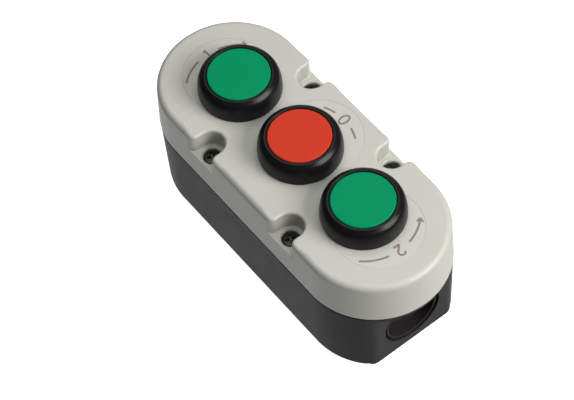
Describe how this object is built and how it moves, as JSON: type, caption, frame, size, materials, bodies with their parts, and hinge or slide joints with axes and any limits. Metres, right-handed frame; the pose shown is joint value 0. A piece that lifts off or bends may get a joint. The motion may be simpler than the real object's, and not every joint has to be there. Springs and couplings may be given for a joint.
{
  "type": "push-button control station",
  "caption": "Pendant-style control station: long round-ended housing, light cover on a dark base, flush push buttons in black bezels, legend plates and cable entries.",
  "frame": {"origin": "middle of the base's back face, under the middle button", "axes": "+X along the length, +Y across the width, +Z out through the cover, along the buttons' axes"},
  "size_m": [0.1322, 0.0542, 0.0586],
  "materials": {
    "base_plastic": "dark grey moulded plastic, fine spark texture",
    "cover_plastic": "light warm grey moulded plastic, satin",
    "seal_rubber": "black rubber",
    "black_screw": "black steel screw",
    "nylon": "natural nylon",
    "terminal_brass": "brass",
    "bezel_plastic": "black satin plastic",
    "nut_plastic": "grey glass-filled plastic",
    "legend_plastic": "light grey engraving laminate",
    "green_cap": "green satin plastic",
    "red_cap": "red satin plastic",
    "plunger_plastic": "black plastic",
    "spring_steel": "spring steel",
    "block_plastic": "slate grey plastic",
    "block_lid_plastic": "dark slate plastic",
    "slider_plastic": "ivory plastic",
    "contact_copper": "copper alloy",
    "zinc_steel": "zinc plated steel"
  },
  "bodies": {
    "housing": {"base": "base_plastic", "cover": "cover_plastic", "cover_gasket": "seal_rubber", "cover_screws": "black_screw", "screw_washers": "nylon", "screw_inserts": "terminal_brass", "left_bezel": "bezel_plastic", "left_seal": "seal_rubber", "left_lock_nut": "nut_plastic", "left_legend": "legend_plastic", "left_return_spring": "spring_steel", "left_contact_block": "block_plastic", "left_contact_lid": "block_lid_plastic", "left_terminals": "terminal_brass", "left_terminal_screws": "zinc_steel", "left_contact_spring": "spring_steel", "centre_bezel": "bezel_plastic", "centre_seal": "seal_rubber", "centre_lock_nut": "nut_plastic", "centre_legend": "legend_plastic", "centre_return_spring": "spring_steel", "centre_contact_block": "block_plastic", "centre_contact_lid": "block_lid_plastic", "centre_terminals": "terminal_brass", "centre_terminal_screws": "zinc_steel", "centre_contact_spring": "spring_steel", "right_bezel": "bezel_plastic", "right_seal": "seal_rubber", "right_lock_nut": "nut_plastic", "right_legend": "legend_plastic", "right_return_spring": "spring_steel", "right_contact_block": "block_plastic", "right_contact_lid": "block_lid_plastic", "right_terminals": "terminal_brass", "right_terminal_screws": "zinc_steel", "right_contact_spring": "spring_steel"},
    "left_button": {"left_cap": "green_cap", "left_plunger": "plunger_plastic", "left_retainer": "spring_steel", "left_slider": "slider_plastic", "left_bridge": "contact_copper"},
    "centre_button": {"centre_cap": "red_cap", "centre_plunger": "plunger_plastic", "centre_retainer": "spring_steel", "centre_slider": "slider_plastic", "centre_bridge": "contact_copper"},
    "right_button": {"right_cap": "green_cap", "right_plunger": "plunger_plastic", "right_retainer": "spring_steel", "right_slider": "slider_plastic", "right_bridge": "contact_copper"}
  },
  "joints": [
    {"name": "left_press", "type": "slide", "parent": "housing", "child": "left_button", "axis": [0, 0, -1], "range_m": [0, 0.0038], "stiffness_N_per_m": 350, "springref_m": -0.008, "deforming": ["left_return_spring", "left_contact_spring"]},
    {"name": "centre_press", "type": "slide", "parent": "housing", "child": "centre_button", "axis": [0, 0, -1], "range_m": [0, 0.0038], "stiffness_N_per_m": 350, "springref_m": -0.008, "deforming": ["centre_return_spring", "centre_contact_spring"]},
    {"name": "right_press", "type": "slide", "parent": "housing", "child": "right_button", "axis": [0, 0, -1], "range_m": [0, 0.0038], "stiffness_N_per_m": 350, "springref_m": -0.008, "deforming": ["right_return_spring", "right_contact_spring"]}
  ]
}
